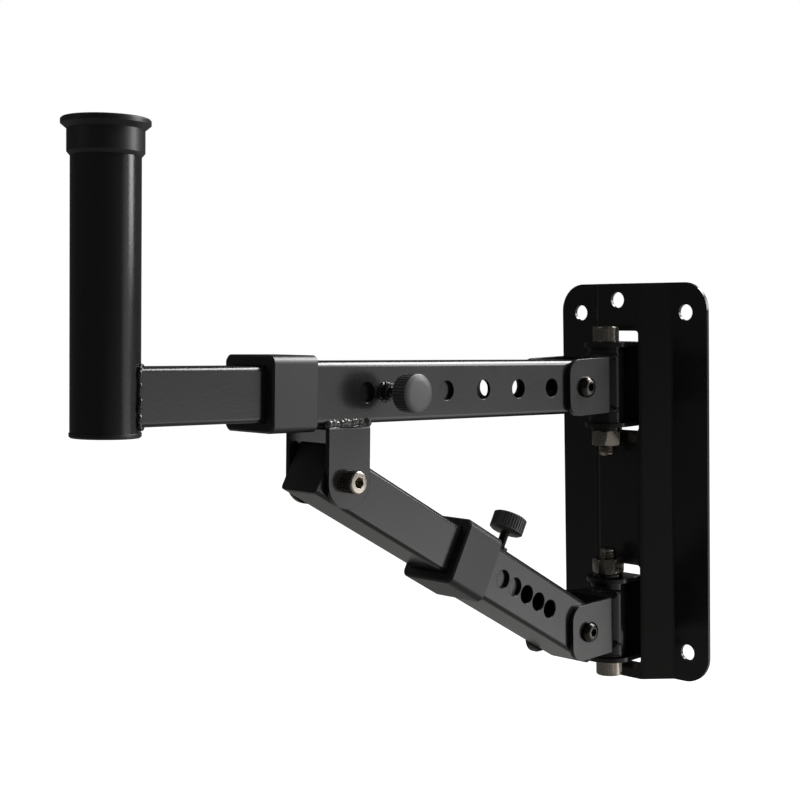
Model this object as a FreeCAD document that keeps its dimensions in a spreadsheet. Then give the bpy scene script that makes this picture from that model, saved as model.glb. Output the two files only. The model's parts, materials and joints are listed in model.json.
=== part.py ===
# Speaker wall bracket: a folded wall plate with two vertical hinge bolts, a telescopic arm on the
# upper one that ends in a speaker pole, and a telescopic strut on the lower one that holds the arm.
# Millimetres. The wall is the plane Y = 0, the room is towards -Y, Z is up, and the origin is the
# centre of the wall plate's back.
import FreeCAD, Part
import math
import os
import Sketcher

os.makedirs("parts", exist_ok=True)
doc = FreeCAD.newDocument("speaker_wall_bracket")

# Driving dimensions, one cell each.
SIZES = {
    # wall plate
    "plate_wide": 124,
    "plate_high": 276,
    "plate_sheet": 2.5,
    "band_raise": 16.3,
    "band_wide": 35,
    "plate_corner": 19,
    "plate_bend": 2.2,
    "wall_hole": 11,
    "wall_hole_spacing": 90,
    "wall_hole_rise": 235,
    "band_hole_drop": 11.4,
    "slot_inset": 0.5,
    "slot_high": 69,
    "slot_rise": 1.9,
    "slot_corner": 2,
    # hinge channels
    "upper_hinge_rise": 68.9,
    "hinge_pitch": 163,
    "hinge_stand": 13.4,
    "ear_sheet": 3,
    "ear_outside": 58,
    "ear_reach": 14.2,
    "ear_bend": 2,
    "web_lap": 0.8,
    # hinge bolts, M12 x 78
    "hinge_bolt": 12,
    "hinge_bolt_long": 78,
    "hinge_head": 18,
    "hinge_head_high": 11,
    "hinge_key": 10,
    "hinge_nut_flats": 19,
    "hinge_nut_high": 10.8,
    "hinge_washer": 21,
    "hinge_washer_thick": 2.4,
    # swivel yokes, sleeves and thrust washers
    "yoke_sheet": 3,
    "yoke_high": 37.2,
    "yoke_inside": 35.6,
    "yoke_back": 20.8,
    "yoke_reach": 64.8,
    "yoke_corner": 10,
    "yoke_bend": 3.1,
    "tongue_wide": 35,
    "sleeve_round": 24,
    "thrust_washer": 25,
    "thrust_washer_thick": 1.3,
    "tilt_rise": 1.6,
    "tilt_offset": 48.6,
    # cheek bolts and lug bolt, M8 x 50
    "cross_bolt": 8,
    "cross_bolt_long": 50,
    "button_head": 14,
    "button_head_high": 4.4,
    "button_key": 5,
    "lug_head": 13,
    "lug_head_high": 8,
    "lug_key": 6,
    "cross_nut_flats": 13,
    "cross_nut_high": 8,
    # square tubes of the arm and the strut
    "outer_tube": 35,
    "outer_wall": 2.2,
    "outer_round": 3,
    "inner_tube": 30,
    "inner_wall": 2,
    "inner_round": 2.5,
    "side_hole": 12,
    "arm_rise_angle": 2.56,
    "arm_tail": 13,
    "arm_outer_end": 260.3,
    "arm_hole_first": 31,
    "arm_hole_pitch": 32.5,
    "arm_far_hole_pitch": 26.5,
    "arm_inner_long": 245,
    "pole_reach": 355,
    "strut_tail": 15,
    "strut_outer_end": 136.5,
    "strut_hole_first": 41.5,
    "strut_hole_pitch": 13,
    "strut_inner_long": 164,
    "strut_nose": 14.6,
    # plastic collars, bushes and plugs
    "collar_square": 42,
    "collar_long": 31.3,
    "collar_wall": 4.6,
    "collar_round": 4.5,
    "strut_collar_long": 32,
    "bush_long": 22,
    "plug_rim": 2.5,
    "plug_depth": 7,
    # clamp knobs, M6
    "arm_knob_place": 179,
    "strut_knob_place": 87,
    "boss_round": 10,
    "boss_high": 5,
    "clamp_screw": 6,
    "knob_round": 22,
    "knob_thick": 9.6,
    "knob_stand": 16.6,
    "knob_rib_depth": 1.2,
    "knob_rib_count": 36,
    # lug under the arm
    "lug_wide": 31,
    "lug_inside": 31,
    "lug_sheet": 3,
    "lug_place": 207.2,
    "lug_pivot_drop": 49.8,
    # pole with its cap and plug
    "pole_round": 35,
    "pole_wall": 2.2,
    "pole_below": 17.7,
    "pole_above": 134.3,
    "cap_flange": 44.4,
    "cap_rim": 2.8,
    "cap_taper": 2.5,
    "cap_skirt": 38.4,
    "cap_foot": 2,
    "cap_high": 18.5,
    "pole_plug_proud": 0.4,
    # clearances
    "running_fit": 0.08,
    "bolt_clearance": 0.5,
    "ear_gap": 1,
    "seat_gap": 0.1,
    "slide_gap": 0.3,
    "thrust_gap": 0.1,
    "strut_pivot_play": 1,
}

sheet = doc.addObject("Spreadsheet::Sheet", "size")
for row, (word, value) in enumerate(SIZES.items(), start=1):
    sheet.set(f"A{row}", word)
    sheet.set(f"B{row}", str(value))
    sheet.setAlias(f"B{row}", word)
doc.recompute()

# Sub-parts to write, in the order they are made.
finished = []


# Small helpers for sketches, features and places.

def number(formula):
    """Value of a formula over the sheet's cells."""
    return float(sheet.evalExpression(formula))


def origin_plane(body, role):
    for feature in body.Origin.OriginFeatures:
        if feature.Role == role:
            return feature
    raise ValueError(f"{body.Label} has no {role}")


def new_body(label):
    body = doc.addObject("PartDesign::Body", label)
    body.Label = label
    finished.append(body)
    return body


def new_sketch(body, role, height="0"):
    """Empty sketch on one of the body's own planes, lifted off it by a height."""
    sketch = body.newObject("Sketcher::SketchObject", body.Name + "_sketch")
    sketch.AttachmentSupport = [(origin_plane(body, role), "")]
    sketch.MapMode = "FlatFace"
    sketch.setExpression("AttachmentOffset.Base.z", height)
    return sketch


def hold_point(sketch, geometry, vertex, across, upward):
    """Tie one point of the sketch to two formulas."""
    for kind, formula in (("DistanceX", across), ("DistanceY", upward)):
        value = number(formula)
        place = sketch.addConstraint(Sketcher.Constraint(kind, -1, 1, geometry, vertex, value))
        sketch.setExpression(f"Constraints[{place}]", formula)


def add_outline(sketch, corners):
    """Closed outline through corners given as pairs of formulas."""
    first = sketch.GeometryCount
    count = len(corners)
    points = [FreeCAD.Vector(number(x), number(y), 0) for x, y in corners]
    for step in range(count):
        line = Part.LineSegment(points[step], points[(step + 1) % count])
        sketch.addGeometry(line, False)
    for step in range(count):
        following = first + (step + 1) % count
        sketch.addConstraint(Sketcher.Constraint("Coincident", first + step, 2, following, 1))
    for step, (x, y) in enumerate(corners):
        hold_point(sketch, first + step, 1, x, y)


def add_circle(sketch, x, y, diameter):
    """Circle with its centre and diameter given as formulas."""
    radius = f"({diameter}) / 2"
    centre = FreeCAD.Vector(number(x), number(y), 0)
    circle = Part.Circle(centre, FreeCAD.Vector(0, 0, 1), number(radius))
    index = sketch.addGeometry(circle, False)
    hold_point(sketch, index, 3, x, y)
    place = sketch.addConstraint(Sketcher.Constraint("Radius", index, number(radius)))
    sketch.setExpression(f"Constraints[{place}]", radius)


def rectangle(left, right, low, high):
    return [(left, low), (right, low), (right, high), (left, high)]


def square(side):
    half = f"({side}) / 2"
    return rectangle(f"-{half}", half, f"-{half}", half)


def hexagon(flats):
    radius = f"({flats}) / 2 / cos(30 deg)"
    turns = [60 * corner for corner in range(6)]
    return [(f"{radius} * cos({turn} deg)", f"{radius} * sin({turn} deg)") for turn in turns]


def pad(body, sketch, length, both_ways=False, backwards=False):
    feature = body.newObject("PartDesign::Pad", body.Name + "_pad")
    feature.Profile = sketch
    feature.setExpression("Length", length)
    if both_ways:
        feature.SideType = "Symmetric"
    feature.Reversed = backwards
    doc.recompute()
    return feature


def cut(body, sketch, depth=None, backwards=False):
    """Pocket of a depth, or right through both ways, that must take material away."""
    before = body.Shape.Volume
    feature = body.newObject("PartDesign::Pocket", body.Name + "_pocket")
    feature.Profile = sketch
    if depth is None:
        feature.Type = "ThroughAll"
        feature.SideType = "Symmetric"
    else:
        feature.setExpression("Length", depth)
        feature.Reversed = backwards
    doc.recompute()
    if not body.Shape.Volume < before:
        raise ValueError(f"{body.Label}: {feature.Name} cuts nothing")
    return feature


def revolve(body, sketch):
    """Full turn about the sketch's upright axis."""
    feature = body.newObject("PartDesign::Revolution", body.Name + "_turned")
    feature.Profile = sketch
    feature.ReferenceAxis = (sketch, ["V_Axis"])
    feature.Angle = 360
    doc.recompute()
    return feature


def soften(body, kind, size, chosen):
    """Fillet or chamfer on the edges that a test picks out of the body's shape."""
    base = body.Tip
    names = [f"Edge{place}" for place, edge in enumerate(base.Shape.Edges, start=1) if chosen(edge)]
    if not names:
        raise ValueError(f"{body.Label}: no edge to soften")
    feature = body.newObject(f"PartDesign::{kind}", f"{body.Name}_{kind.lower()}")
    feature.Base = (base, names)
    feature.setExpression("Radius" if kind == "Fillet" else "Size", size)
    doc.recompute()
    return feature


def near(first, second):
    return abs(first - second) < 0.01


def runs_along(edge, axis):
    """True for a straight edge along X, Y or Z (0, 1 or 2)."""
    if edge.Curve.TypeId != "Part::GeomLine":
        return False
    direction = edge.Vertexes[0].Point - edge.Vertexes[-1].Point
    return near(abs(direction[axis]), direction.Length)


def tilted(angle):
    """Turn that lays X outwards along a member that rises at an angle, Y along world X."""
    rise = math.radians(angle)
    outwards = FreeCAD.Vector(0, -math.cos(rise), math.sin(rise))
    upwards = FreeCAD.Vector(0, math.sin(rise), math.cos(rise))
    return FreeCAD.Rotation(outwards, FreeCAD.Vector(1, 0, 0), upwards, "XYZ")


def facing(x, y, z):
    """Turn that points Z along a direction."""
    return FreeCAD.Rotation(FreeCAD.Vector(0, 0, 1), FreeCAD.Vector(x, y, z))


def put(sub_part, point, turn=FreeCAD.Rotation()):
    sub_part.Placement = FreeCAD.Placement(point, turn)


def drilled(label, blank, tool):
    """Blank with a tool taken away, as one finished sub-part."""
    result = doc.addObject("Part::Cut", label)
    result.Label = label
    result.Base = blank
    result.Tool = tool
    finished.append(result)
    return result


def cylinder(name, diameter, length, start="0"):
    shape = doc.addObject("Part::Cylinder", name)
    shape.setExpression("Radius", f"({diameter}) / 2")
    shape.setExpression("Height", length)
    shape.setExpression("Placement.Base.z", start)
    return shape


# Where things stand, worked out from the sizes.
hinge_y = -number("size.plate_sheet + size.band_raise + size.hinge_stand")
tilt_y = hinge_y - number("size.tilt_offset")
hinge_heights = {"upper": number("size.upper_hinge_rise")}
hinge_heights["lower"] = hinge_heights["upper"] - number("size.hinge_pitch")
tilt_heights = {name: height + number("size.tilt_rise") for name, height in hinge_heights.items()}
arm_turn = tilted(number("size.arm_rise_angle"))
arm_pivot = FreeCAD.Vector(0, tilt_y, tilt_heights["upper"])
strut_foot = FreeCAD.Vector(0, tilt_y, tilt_heights["lower"])


def on_arm(along, across, above):
    """World point from the arm's own measures, counted from its cheek bolt."""
    return arm_pivot + arm_turn.multVec(FreeCAD.Vector(along, across, above))


lug_pivot = on_arm(number("size.lug_place"), 0, -number("size.lug_pivot_drop"))
strut_line = lug_pivot - strut_foot
strut_turn = tilted(math.degrees(math.atan2(strut_line.z, -strut_line.y)))


# Wall plate: one sheet folded into a raised band with a flange on each side.

def make_wall_plate():
    body = new_body("wall_plate")
    half = "size.plate_wide / 2"
    sheet_thick = "size.plate_sheet"
    band = "size.band_wide / 2"
    inset = "size.plate_sheet * tan(22.5 deg)"
    front = f"-(size.band_raise + {sheet_thick})"
    right = [
        (half, "0"),
        (half, f"-{sheet_thick}"),
        (f"{band} + size.band_raise", f"-{sheet_thick}"),
        (band, front),
    ]
    inner = [(f"{band} - {inset}", "-size.band_raise"), (f"{band} + size.band_raise - {inset}", "0")]
    left = [(f"-({x})", y) for x, y in reversed(right)]
    inner_left = [(f"-({x})", y) for x, y in reversed(inner)]
    sketch = new_sketch(body, "XY_Plane")
    add_outline(sketch, right + left + inner_left + inner)
    pad(body, sketch, "size.plate_high", both_ways=True)
    side_x = number(half)
    front_y = number(front)
    band_back_y = -number("size.band_raise")

    def is_outer_fold(edge):
        start = edge.Vertexes[0]
        flange_fold = near(start.Y, 0) and abs(start.X) < side_x - 1
        return runs_along(edge, 2) and (near(start.Y, front_y) or flange_fold)

    def is_inner_fold(edge):
        start = edge.Vertexes[0]
        flange_fold = near(start.Y, -number(sheet_thick)) and abs(start.X) < side_x - 1
        return runs_along(edge, 2) and (near(start.Y, band_back_y) or flange_fold)

    def is_corner(edge):
        return runs_along(edge, 1) and near(abs(edge.Vertexes[0].X), side_x)

    soften(body, "Fillet", f"size.plate_bend + {sheet_thick}", is_outer_fold)
    soften(body, "Fillet", "size.plate_bend", is_inner_fold)
    soften(body, "Fillet", "size.plate_corner", is_corner)
    holes = new_sketch(body, "XZ_Plane")
    for side in (-1, 1):
        for level in (-1, 1):
            x = f"{side} * size.wall_hole_spacing / 2"
            z = f"{level} * size.wall_hole_rise / 2"
            add_circle(holes, x, z, "size.wall_hole")
    add_circle(holes, "0", "size.plate_high / 2 - size.band_hole_drop", "size.wall_hole")
    cut(body, holes)
    for drop in ("0", "size.hinge_pitch"):
        cut_slot(body, f"size.upper_hinge_rise - {drop} + size.slot_rise")


def cut_slot(body, centre):
    """Slot with round corners: a tall rectangle, a wide one and four circles."""
    wide = "(size.band_wide / 2 - size.slot_inset)"
    tall = "size.slot_high / 2"
    wide_in = f"({wide} - size.slot_corner)"
    tall_in = f"({tall} - size.slot_corner)"
    for across, upward in ((wide_in, tall), (wide, tall_in)):
        sketch = new_sketch(body, "XZ_Plane")
        corners = rectangle(f"-{across}", across, f"{centre} - {upward}", f"{centre} + {upward}")
        add_outline(sketch, corners)
        cut(body, sketch)
    corners = new_sketch(body, "XZ_Plane")
    for side in (-1, 1):
        for end in (-1, 1):
            height = f"{centre} + {end} * {tall_in}"
            add_circle(corners, f"{side} * {wide_in}", height, "2 * size.slot_corner")
    cut(body, corners)


# Hinge channels: a T-shaped sheet bent into a U. Its ears pass through the slot into the room, and
# its wider web is wedged and welded between the plate's slopes.

def make_channel(name):
    body = new_body(f"{name}_hinge_channel")
    outside = "size.ear_outside / 2"
    inside = f"{outside} - size.ear_sheet"
    slot_half = "size.band_wide / 2 - size.slot_inset"
    web_half = f"{slot_half} + size.web_lap"
    inner_fold = "size.band_wide / 2 - size.plate_sheet * tan(22.5 deg)"
    web_front = (f"size.hinge_stand + size.plate_sheet + ({web_half}) - ({inner_fold})"
                 " + size.seat_gap")
    web_back = f"{web_front} + size.ear_sheet"
    reach = "-size.ear_reach"
    ear_half = f"{slot_half} - size.ear_gap"
    web = new_sketch(body, "YZ_Plane")
    add_outline(web, rectangle(web_front, web_back, f"-({outside})", outside))
    pad(body, web, f"2 * ({web_half})", both_ways=True)
    for low, high in ((inside, outside), (f"-({outside})", f"-({inside})")):
        ear = new_sketch(body, "YZ_Plane")
        add_outline(ear, rectangle(reach, web_back, low, high))
        pad(body, ear, f"2 * ({ear_half})", both_ways=True)
    front_y = number(reach)
    back_y = number(web_back)

    def is_front(edge):
        return runs_along(edge, 2) and near(edge.Vertexes[0].Y, front_y)

    def is_bend(edge):
        return runs_along(edge, 0) and near(edge.Vertexes[0].Y, back_y)

    soften(body, "Fillet", f"{ear_half} - 0.1", is_front)
    soften(body, "Fillet", "size.ear_bend", is_bend)
    hole = new_sketch(body, "XY_Plane")
    add_circle(hole, "0", "0", "size.hinge_bolt + size.bolt_clearance")
    cut(body, hole)
    put(body, FreeCAD.Vector(0, hinge_y, hinge_heights[name]))


# Screws: the head's seat is the plane Z = 0 of the screw, its shank points to -Z.

def make_screw(label, shank, length, head, head_high, key, domed=False):
    body = new_body(label)
    edge = f"{head} / 2"
    stem = f"{shank} / 2"
    bevel = f"{shank} / 10"
    shoulder = f"{head_high} * 0.35" if domed else f"{head_high} - {bevel}"
    crown = f"{edge} * 0.6" if domed else f"{edge} - {bevel}"
    profile = [
        ("0", head_high),
        (crown, head_high),
        (edge, shoulder),
        (edge, "0"),
        (stem, "0"),
        (stem, f"-({length} - {bevel})"),
        (f"{stem} - {bevel}", f"-{length}"),
        ("0", f"-{length}"),
    ]
    sketch = new_sketch(body, "XZ_Plane")
    add_outline(sketch, profile)
    revolve(body, sketch)
    socket = new_sketch(body, "XY_Plane", head_high)
    add_outline(socket, hexagon(key))
    cut(body, socket, f"{head_high} * 0.6")
    return body


# Nuts: a hexagon whose corners are turned off at both ends. The seat is Z = 0.

def make_nut(label, flats, height, shank):
    face = f"{flats} / 2"
    corner = f"{face} / cos(30 deg)"
    bevel = f"{flats} / 20"
    turned = doc.addObject("PartDesign::Body", label + "_turned")
    sketch = new_sketch(turned, "XZ_Plane")
    add_outline(sketch, [
        ("0", "0"),
        (face, "0"),
        (corner, bevel),
        (corner, f"{height} - {bevel}"),
        (face, height),
        ("0", height),
    ])
    revolve(turned, sketch)
    prism = doc.addObject("Part::Prism", label + "_hexagon")
    prism.Polygon = 6
    prism.setExpression("Circumradius", corner)
    prism.setExpression("Height", height)
    blank = doc.addObject("Part::Common", label + "_blank")
    blank.Base = turned
    blank.Tool = prism
    bore = cylinder(label + "_bore", f"{shank} + 2 * size.running_fit", height)
    return drilled(label, blank, bore)


def make_washer(label, diameter, thickness):
    body = new_body(label)
    sketch = new_sketch(body, "XY_Plane")
    add_circle(sketch, "0", "0", diameter)
    add_circle(sketch, "0", "0", "size.hinge_bolt + 2 * size.running_fit")
    pad(body, sketch, thickness)
    return body


def make_hinge_fasteners(name):
    """Hinge bolt, nut and washer. The upper bolt hangs head up, the lower one head down."""
    head_way = 1 if name == "upper" else -1
    middle = FreeCAD.Vector(0, hinge_y, hinge_heights[name])
    ear_face = FreeCAD.Vector(0, 0, head_way * number("size.ear_outside / 2"))
    washer_thick = FreeCAD.Vector(0, 0, head_way * number("size.hinge_washer_thick"))
    bolt = make_screw(f"{name}_hinge_bolt", "size.hinge_bolt", "size.hinge_bolt_long",
                      "size.hinge_head", "size.hinge_head_high", "size.hinge_key")
    put(bolt, middle + ear_face, facing(0, 0, head_way))
    away = facing(0, 0, -head_way)
    washer = make_washer(f"{name}_hinge_washer", "size.hinge_washer", "size.hinge_washer_thick")
    put(washer, middle - ear_face, away)
    nut = make_nut(f"{name}_hinge_nut", "size.hinge_nut_flats", "size.hinge_nut_high",
                   "size.hinge_bolt")
    # The two nuts were tightened to different angles, as the photograph shows.
    turned = FreeCAD.Rotation(FreeCAD.Vector(0, 0, 1), 0 if name == "upper" else 30)
    put(nut, middle - ear_face - washer_thick, away.multiply(turned))


# Swivel yokes: a cross-shaped sheet. Two cheeks fold forwards to hold the arm, two tongues fold
# back and are welded to the sleeve. The yoke's own Z = 0 is the height of its cheek bolt.

def add_tongue(body, height):
    """Tongue that narrows from the yoke's web to the sides of the sleeve."""
    front = "size.tongue_wide / 2"
    rear = "size.sleeve_round / 2"
    web = "-size.yoke_back"
    stop = "-size.sleeve_round / 4"
    blade = new_sketch(body, "XY_Plane", height)
    add_outline(blade, [(f"-{front}", web), (front, web), (rear, stop), (f"-{rear}", stop)])
    pad(body, blade, "size.yoke_sheet")


def make_yoke(name):
    body = new_body(f"{name}_yoke")
    outer = "size.yoke_inside / 2 + size.yoke_sheet"
    inner = "size.yoke_inside / 2"
    back = "-size.yoke_back"
    web = "-size.yoke_back - size.yoke_sheet"
    reach = "-size.yoke_reach"
    plan = [
        (f"-({outer})", back),
        (outer, back),
        (outer, reach),
        (inner, reach),
        (inner, web),
        (f"-({inner})", web),
        (f"-({inner})", reach),
        (f"-({outer})", reach),
    ]
    sketch = new_sketch(body, "XY_Plane")
    add_outline(sketch, plan)
    pad(body, sketch, "size.yoke_high", both_ways=True)
    side_x = number(outer)
    back_y = number(back)
    reach_y = number(reach)

    def is_bend(edge):
        start = edge.Vertexes[0]
        return runs_along(edge, 2) and near(abs(start.X), side_x) and near(start.Y, back_y)

    def is_cheek_corner(edge):
        return runs_along(edge, 0) and near(edge.Vertexes[0].Y, reach_y)

    soften(body, "Fillet", "size.yoke_bend", is_bend)
    soften(body, "Fillet", "size.yoke_corner", is_cheek_corner)
    add_tongue(body, "size.yoke_high / 2 - size.yoke_sheet")
    add_tongue(body, "-size.yoke_high / 2")
    seat = new_sketch(body, "XY_Plane")
    add_circle(seat, "0", "0", "size.sleeve_round")
    cut(body, seat)
    cross = new_sketch(body, "YZ_Plane")
    add_circle(cross, "-size.tilt_offset", "0", "size.cross_bolt + size.bolt_clearance")
    cut(body, cross)
    put(body, FreeCAD.Vector(0, hinge_y, tilt_heights[name]))


# Sleeves: a thick tube on each hinge bolt, with a thin thrust washer between each end and the ear.

def make_sleeve(name):
    room = "size.ear_outside - 2 * size.ear_sheet - 2 * size.thrust_gap"
    length = f"{room} - 2 * size.thrust_washer_thick"
    tube = cylinder(f"{name}_sleeve_blank", "size.sleeve_round", length)
    bore = cylinder(f"{name}_sleeve_bore", "size.hinge_bolt + 2 * size.running_fit", length)
    sleeve = drilled(f"{name}_sleeve", tube, bore)
    middle = FreeCAD.Vector(0, hinge_y, hinge_heights[name])
    end = FreeCAD.Vector(0, 0, number(length) / 2)
    put(sleeve, middle - end)
    for side, way in (("top", 1), ("bottom", -1)):
        washer = make_washer(f"{name}_{side}_thrust_washer", "size.thrust_washer",
                             "size.thrust_washer_thick")
        put(washer, middle + end * way, facing(0, 0, way))


def make_cheek_fasteners(name):
    """Button screw through both cheeks from the +X side, and its nut."""
    outside = number("size.yoke_inside / 2 + size.yoke_sheet")
    screw = make_screw(f"{name}_cheek_bolt", "size.cross_bolt", "size.cross_bolt_long",
                       "size.button_head", "size.button_head_high", "size.button_key", domed=True)
    put(screw, FreeCAD.Vector(outside, tilt_y, tilt_heights[name]), facing(1, 0, 0))
    nut = make_nut(f"{name}_cheek_nut", "size.cross_nut_flats", "size.cross_nut_high",
                   "size.cross_bolt")
    put(nut, FreeCAD.Vector(-outside, tilt_y, tilt_heights[name]), facing(-1, 0, 0))


# Square tubes: X runs along the tube, Y across the bracket, Z up through the tube.

def make_square_tube(label, side, wall, roundness, start, end):
    body = new_body(label)
    sketch = new_sketch(body, "YZ_Plane", start)
    add_outline(sketch, square(side))
    add_outline(sketch, square(f"{side} - 2 * {wall}"))
    pad(body, sketch, f"{end} - ({start})")
    outside = number(f"{side} / 2")

    def is_outer_edge(edge):
        return runs_along(edge, 0) and near(abs(edge.Vertexes[0].Y), outside)

    soften(body, "Fillet", roundness, is_outer_edge)
    return body


def drill_sides(body, places, diameter, depth=None, backwards=False):
    """Holes on the tube's middle line, through both side walls unless a depth is given."""
    sketch = new_sketch(body, "XZ_Plane")
    for place in places:
        add_circle(sketch, place, "0", diameter)
    cut(body, sketch, depth, backwards)


def make_outer_arm_tube():
    body = make_square_tube("outer_arm_tube", "size.outer_tube", "size.outer_wall",
                            "size.outer_round", "-size.arm_tail", "size.arm_outer_end")
    drill_sides(body, ["0"], "size.cross_bolt + 2 * size.running_fit")
    half = "size.outer_tube / 2"
    for pitch, far in (("size.arm_hole_pitch", False), ("size.arm_far_hole_pitch", True)):
        row = [f"size.arm_hole_first + {step} * {pitch}" for step in range(6)]
        drill_sides(body, row, "size.side_hole", half, backwards=far)
    drill_sides(body, ["size.arm_knob_place"], "size.clamp_screw + size.bolt_clearance", half)
    put(body, arm_pivot, arm_turn)


def make_outer_strut_tube():
    body = make_square_tube("outer_strut_tube", "size.outer_tube", "size.outer_wall",
                            "size.outer_round", "-size.strut_tail", "size.strut_outer_end")
    drill_sides(body, ["0"], "size.cross_bolt + 2 * size.running_fit")
    steps = [f"size.strut_hole_first + {step} * size.strut_hole_pitch" for step in range(5)]
    drill_sides(body, steps, "size.side_hole")
    screw_hole = new_sketch(body, "XY_Plane")
    add_circle(screw_hole, "size.strut_knob_place", "0", "size.clamp_screw + size.bolt_clearance")
    cut(body, screw_hole, "size.outer_tube / 2", backwards=True)
    put(body, strut_foot, strut_turn)


# Collars: moulded guides pushed over the outer tube's end, with a square eye for the inner tube.

def make_collar(label, tube_end, length):
    body = new_body(label)
    nose = f"{tube_end} + size.collar_wall"
    start = f"{nose} - {length}"
    sketch = new_sketch(body, "YZ_Plane", start)
    add_outline(sketch, square("size.collar_square"))
    pad(body, sketch, length)
    side = number("size.collar_square / 2")
    nose_x = number(nose)

    def is_long_edge(edge):
        return runs_along(edge, 0) and near(abs(edge.Vertexes[0].Y), side)

    def is_nose_edge(edge):
        return all(near(vertex.X, nose_x) for vertex in edge.Vertexes)

    soften(body, "Fillet", "size.collar_round", is_long_edge)
    soften(body, "Chamfer", "size.collar_wall / 4", is_nose_edge)
    socket = new_sketch(body, "YZ_Plane", tube_end)
    add_outline(socket, square("size.outer_tube"))
    cut(body, socket, length)
    eye = new_sketch(body, "YZ_Plane")
    add_outline(eye, square("size.inner_tube + 2 * size.slide_gap"))
    cut(body, eye)
    return body


# Clamp bosses and knobs: Z points away from the tube, Z = 0 is the outer tube's face.

def make_boss(label, point, turn):
    blank = cylinder(f"{label}_blank", "size.boss_round", "size.boss_high")
    bore = cylinder(f"{label}_bore", "size.clamp_screw + 2 * size.running_fit", "size.boss_high")
    put(drilled(label, blank, bore), point, turn)


def make_knob(label, point, turn):
    body = new_body(label)
    edge = "size.knob_round / 2"
    low = "size.knob_stand"
    high = "size.knob_stand + size.knob_thick"
    profile = [
        ("0", low),
        (f"{edge} - 1.2 * size.knob_rib_depth", low),
        (edge, f"{low} + size.knob_rib_depth"),
        (edge, f"{high} - size.knob_rib_depth"),
        (f"{edge} - size.knob_rib_depth", high),
        (f"{edge} * 0.6", high),
        (f"{edge} * 0.55", f"{high} - size.knob_rib_depth / 2"),
        ("0", f"{high} - size.knob_rib_depth / 2"),
    ]
    sketch = new_sketch(body, "XZ_Plane")
    add_outline(sketch, profile)
    revolve(body, sketch)
    groove = new_sketch(body, "XY_Plane", low)
    add_circle(groove, f"{edge} + size.knob_rib_depth * 0.3", "0", "1.2 * size.knob_rib_depth")
    flute = cut(body, groove, "size.knob_thick", backwards=True)
    ribs = body.newObject("PartDesign::PolarPattern", f"{label}_ribs")
    ribs.Originals = [flute]
    ribs.Axis = (sketch, ["V_Axis"])
    ribs.Angle = 360
    ribs.setExpression("Occurrences", "size.knob_rib_count")
    body.Tip = ribs
    doc.recompute()
    put(body, point, turn)
    # The screw is moulded into the knob's middle and stops just short of the inner tube.
    screw = new_body(label.replace("knob", "clamp_screw"))
    stem = new_sketch(screw, "XY_Plane", "-(size.outer_tube - size.inner_tube) / 2 + size.slide_gap")
    add_circle(stem, "0", "0", "size.clamp_screw")
    reach = "(size.outer_tube - size.inner_tube) / 2 - size.slide_gap + size.knob_stand"
    pad(screw, stem, reach)
    put(screw, point, turn)


# Lug: a U of sheet welded under the outer arm tube. Its own frame is the arm's.

def make_lug():
    body = new_body("arm_lug")
    outer = "size.lug_inside / 2 + size.lug_sheet"
    inner = "size.lug_inside / 2"
    top = "-size.outer_tube / 2"
    web = "-size.outer_tube / 2 - size.lug_sheet"
    foot = "-size.lug_pivot_drop - size.lug_wide / 2"
    section = [
        (f"-({outer})", top),
        (outer, top),
        (outer, foot),
        (inner, foot),
        (inner, web),
        (f"-({inner})", web),
        (f"-({inner})", foot),
        (f"-({outer})", foot),
    ]
    sketch = new_sketch(body, "YZ_Plane", "size.lug_place - size.lug_wide / 2")
    add_outline(sketch, section)
    pad(body, sketch, "size.lug_wide")
    foot_z = number(foot)
    side_y = number(outer)
    top_z = number(top)

    def is_foot_corner(edge):
        return runs_along(edge, 1) and near(edge.Vertexes[0].Z, foot_z)

    def is_bend(edge):
        start = edge.Vertexes[0]
        return runs_along(edge, 0) and near(abs(start.Y), side_y) and near(start.Z, top_z)

    soften(body, "Fillet", "size.lug_wide / 2 - 0.1", is_foot_corner)
    soften(body, "Fillet", "size.lug_sheet", is_bend)
    pivot = new_sketch(body, "XZ_Plane")
    add_circle(pivot, "size.lug_place", "-size.lug_pivot_drop", "size.cross_bolt + size.bolt_clearance")
    cut(body, pivot)
    put(body, arm_pivot, arm_turn)


def make_lug_fasteners():
    outside = number("size.lug_inside / 2 + size.lug_sheet")
    screw = make_screw("lug_bolt", "size.cross_bolt", "size.cross_bolt_long",
                       "size.lug_head", "size.lug_head_high", "size.lug_key")
    put(screw, lug_pivot + FreeCAD.Vector(outside, 0, 0), facing(1, 0, 0))
    nut = make_nut("lug_nut", "size.cross_nut_flats", "size.cross_nut_high", "size.cross_bolt")
    put(nut, lug_pivot - FreeCAD.Vector(outside, 0, 0), facing(-1, 0, 0))


# Inner arm tube, pole, cap and plug. Their frame has the pole's axis as Z and the arm's middle
# line at Z = 0.

def make_inner_arm_tube(place):
    body = make_square_tube("inner_arm_tube", "size.inner_tube", "size.inner_wall",
                            "size.inner_round", "-size.arm_inner_long", "0")
    saddle = new_sketch(body, "XY_Plane")
    add_circle(saddle, "0", "0", "size.pole_round")
    cut(body, saddle)
    put(body, place, arm_turn)


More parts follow.
